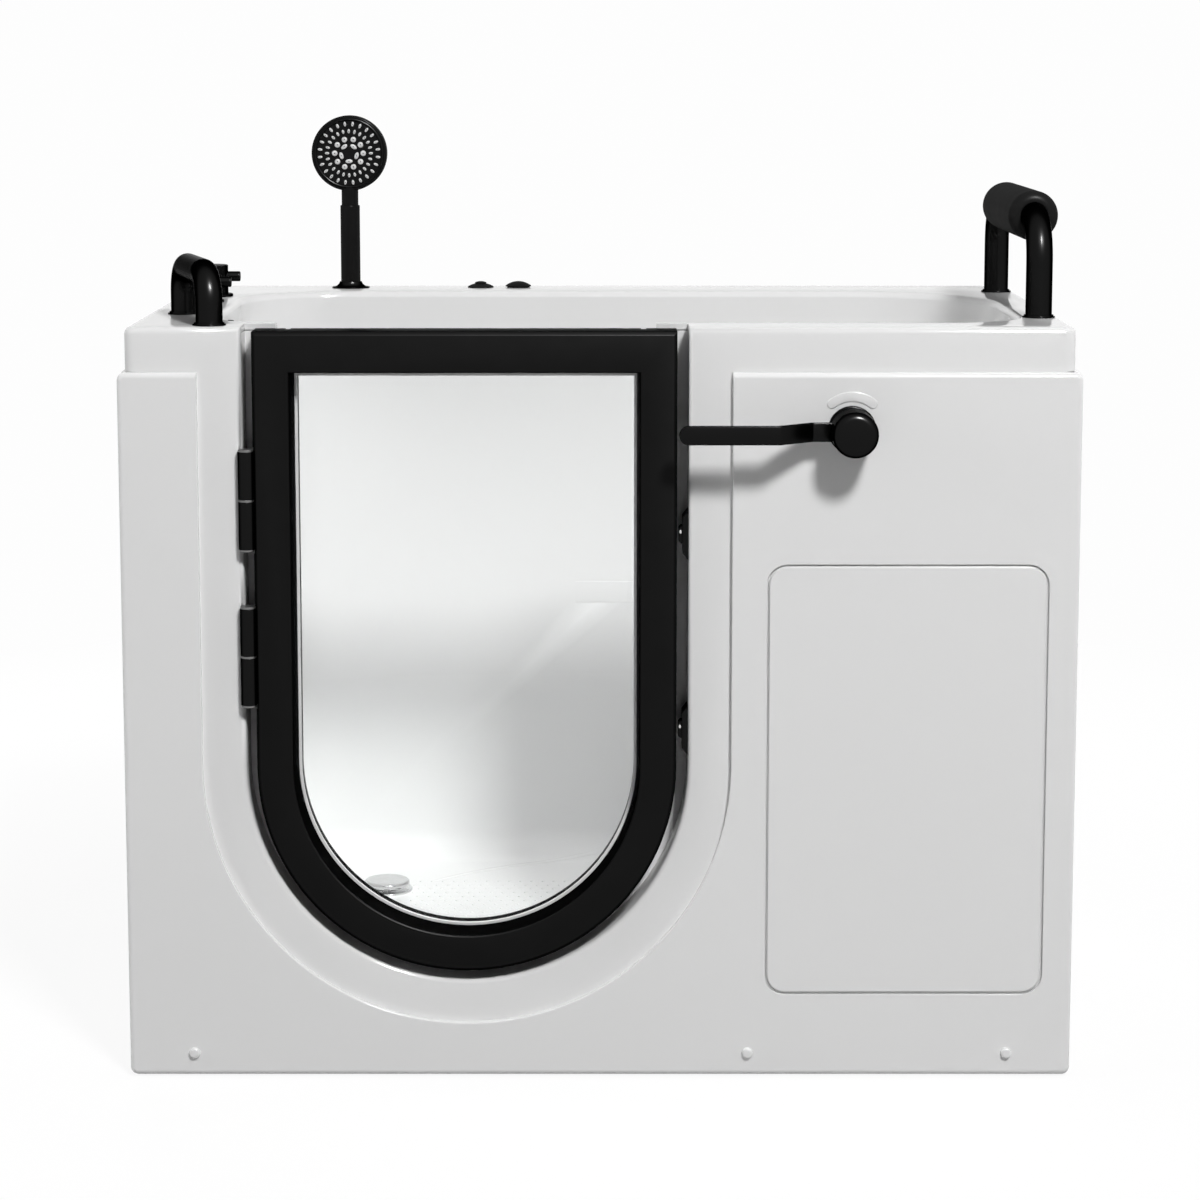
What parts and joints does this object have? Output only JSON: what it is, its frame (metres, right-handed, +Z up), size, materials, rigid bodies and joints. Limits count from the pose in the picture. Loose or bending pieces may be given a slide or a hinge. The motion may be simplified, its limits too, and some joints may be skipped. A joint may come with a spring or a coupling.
{
  "type": "walk-in bathtub with door",
  "caption": "Walk-in bathtub with a seat, an outward-opening glazed door, a lever latch, grab bars, deck taps and a hand shower.",
  "frame": {"origin": "on the floor under the middle of the whole bathtub's bounding box, latch hub included", "axes": "+X to the right seen from the front, -Y towards the front where the door opens, +Z up"},
  "size_m": [1.2, 0.767, 1.208],
  "materials": {
    "acrylic": "smooth gloss",
    "panel_acrylic": "smooth satin gloss",
    "frame_steel": "zinc paint, satin",
    "foot_rubber": "matt",
    "zinc": "zinc plated",
    "black_frame": "black powder coat, satin",
    "glass": "clear",
    "bead": "satin",
    "seal": "matt",
    "steel": "bright",
    "black_metal": "matt black, satin",
    "foam": "closed-cell foam, matt",
    "black_plastic": "satin",
    "chrome": "polished",
    "pipe_plastic": "matt",
    "blower_plastic": "matt"
  },
  "bodies": {
    "tub": {"tub_shell": "acrylic", "front_apron": "panel_acrylic", "left_end_panel": "panel_acrylic", "right_end_panel": "panel_acrylic", "apron_screws": "zinc", "apron_screw_caps": "panel_acrylic", "front_rail": "frame_steel", "back_rail": "frame_steel", "left_rail": "frame_steel", "right_rail": "frame_steel", "well_rail_left": "frame_steel", "well_rail_right": "frame_steel", "seat_rail": "frame_steel", "corner_posts": "frame_steel", "seat_legs": "frame_steel", "levelling_feet": "foot_rubber", "foot_lock_nuts": "zinc", "jamb_hinge_leaves": "black_metal", "hinge_pins": "steel", "hinge_washers": "steel", "keeper_upper": "black_metal", "keeper_lower": "black_metal", "lever_rosette": "black_metal", "left_grab_bar": "black_metal", "left_grab_flanges": "black_metal", "right_grab_bar": "black_metal", "right_grab_flanges": "black_metal", "grip_roll": "foam", "hot_tap_body": "black_metal", "cold_tap_body": "black_metal", "shower_holder": "black_metal", "air_button_collar": "black_plastic", "air_knob_collar": "black_plastic", "drain_flange": "chrome", "drain_body": "pipe_plastic", "waste_trap": "pipe_plastic", "overflow_plate": "black_metal", "overflow_pipe": "pipe_plastic", "air_blower": "blower_plastic"},
    "door": {"door_frame": "black_frame", "door_glass": "glass", "glass_bead": "bead", "glass_retainer": "black_frame", "door_seal": "seal", "door_hinge_leaves": "black_metal"},
    "lever": {"lever_hub": "black_metal", "lever_arm": "black_metal", "latch_pinion": "steel"},
    "latch": {"latch_rack": "steel", "latch_bolt_upper": "black_metal", "latch_bolt_lower": "black_metal"},
    "access_cover": {"access_panel": "panel_acrylic"},
    "hot_lever": {"hot_tap_lever": "black_metal"},
    "cold_lever": {"cold_tap_lever": "black_metal"},
    "handset": {"shower_handset": "black_plastic", "shower_face": "black_plastic"},
    "air_push": {"air_button": "black_plastic"},
    "air_dial": {"air_knob": "black_plastic"},
    "overflow_dial": {"overflow_knob": "black_metal"},
    "drain_plug": {"drain_cap": "chrome"}
  },
  "joints": [
    {"name": "door_swing", "type": "hinge", "parent": "tub", "child": "door", "pos_m": [-0.44099, -0.3145, 0.645], "axis": [0, 0, -1], "range_deg": [0, 110]},
    {"name": "lever_turn", "type": "hinge", "parent": "tub", "child": "lever", "pos_m": [0.313, -0.3165, 0.833], "axis": [0, -1, 0], "range_deg": [0, 90]},
    {"name": "latch_slide", "type": "slide", "parent": "tub", "child": "latch", "axis": [-1, 0, 0], "range_m": [0, 0.01768]},
    {"name": "access_pull", "type": "slide", "parent": "tub", "child": "access_cover", "axis": [0, -1, 0], "range_m": [0, 0.1]},
    {"name": "hot_tap_turn", "type": "hinge", "parent": "tub", "child": "hot_lever", "pos_m": [-0.5415, 0.0785, 0.98], "axis": [0, 0, 1], "range_deg": [0, 90]},
    {"name": "cold_tap_turn", "type": "hinge", "parent": "tub", "child": "cold_lever", "pos_m": [-0.5415, 0.1835, 0.98], "axis": [0, 0, 1], "range_deg": [-90, 0]},
    {"name": "handset_lift", "type": "slide", "parent": "tub", "child": "handset", "axis": [0, 0, 1], "range_m": [0, 0.12]},
    {"name": "air_button_press", "type": "slide", "parent": "tub", "child": "air_push", "axis": [0, 0, -1], "range_m": [0, 0.003], "stiffness_N_per_m": 400},
    {"name": "air_knob_turn", "type": "hinge", "parent": "tub", "child": "air_dial", "pos_m": [-0.1185, 0.3465, 0.965], "axis": [0, 0, 1], "range_deg": [0, 270]},
    {"name": "overflow_knob_turn", "type": "hinge", "parent": "tub", "child": "overflow_dial", "pos_m": [-0.485, -0.0415, 0.912], "axis": [1, 0, 0], "range_deg": [0, 90]},
    {"name": "drain_cap_lift", "type": "slide", "parent": "tub", "child": "drain_plug", "axis": [0, 0, 1], "range_m": [-0.00571, 0]}
  ],
  "couplings": [
    {"joint": "latch_slide", "follows": "lever_turn", "m_per_rad": 0.01125},
    {"joint": "drain_cap_lift", "follows": "overflow_knob_turn", "m_per_rad": -0.0036287}
  ]
}
